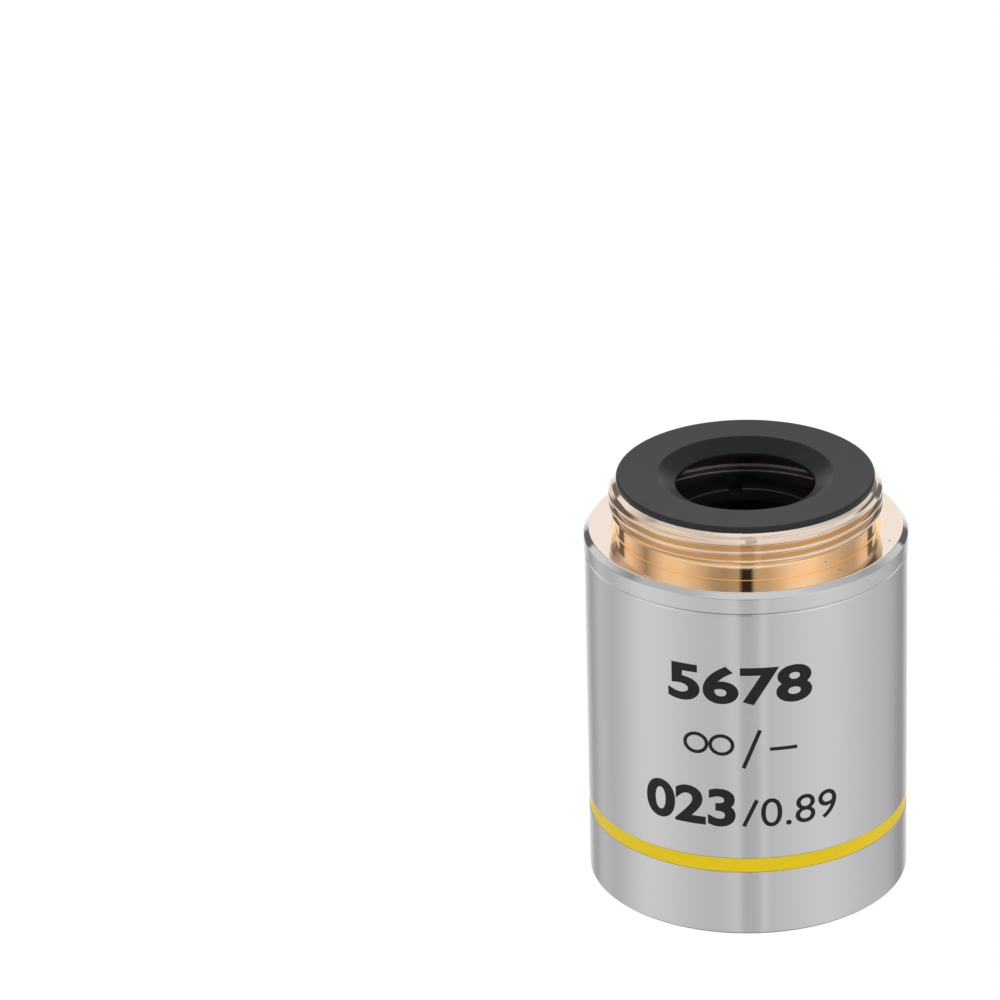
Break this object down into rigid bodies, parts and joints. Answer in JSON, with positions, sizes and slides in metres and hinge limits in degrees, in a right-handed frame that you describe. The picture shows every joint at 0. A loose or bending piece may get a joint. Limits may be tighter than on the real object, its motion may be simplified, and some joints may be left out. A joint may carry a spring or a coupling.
{
  "type": "microscope objective",
  "caption": "Short infinity-corrected microscope objective: threaded brass mount, satin plated sleeve with a colour ring, and a stack of lenses in cells inside.",
  "frame": {"origin": "centre of the nose plane, on the optical axis, where the objective stands on its sleeve's foot", "axes": "+Z along the optical axis, from the nose to the mounting thread; -Y is the side that carries the markings"},
  "size_m": [0.024, 0.024, 0.0322],
  "materials": {
    "gilt_brass": "polished gold-coloured thread and shoulder, with a satin silver plating on the flange's rim",
    "satin_plating": "brass with a fine satin silver plating",
    "ring_enamel": "yellow enamel filling a turned groove",
    "black_finish": "brass with a satin black finish against stray light",
    "lens_glass": "polished optical glass with a thin anti-reflection coating"
  },
  "bodies": {
    "root": {"mount": "gilt_brass", "sleeve": "satin_plating", "colour_ring": "ring_enamel", "nose_ring": "black_finish", "rear_stop_ring": "black_finish", "lock_ring": "black_finish", "retaining_ring": "black_finish", "lens_barrel": "black_finish", "front_cell": "black_finish", "front_spacer": "black_finish", "second_cell": "black_finish", "middle_spacer": "black_finish", "doublet_cell": "black_finish", "aperture_stop": "black_finish", "rear_cell": "black_finish", "front_lens": "lens_glass", "second_lens": "lens_glass", "doublet_crown": "lens_glass", "doublet_flint": "lens_glass", "rear_flint": "lens_glass", "rear_crown": "lens_glass"}
  },
  "joints": []
}
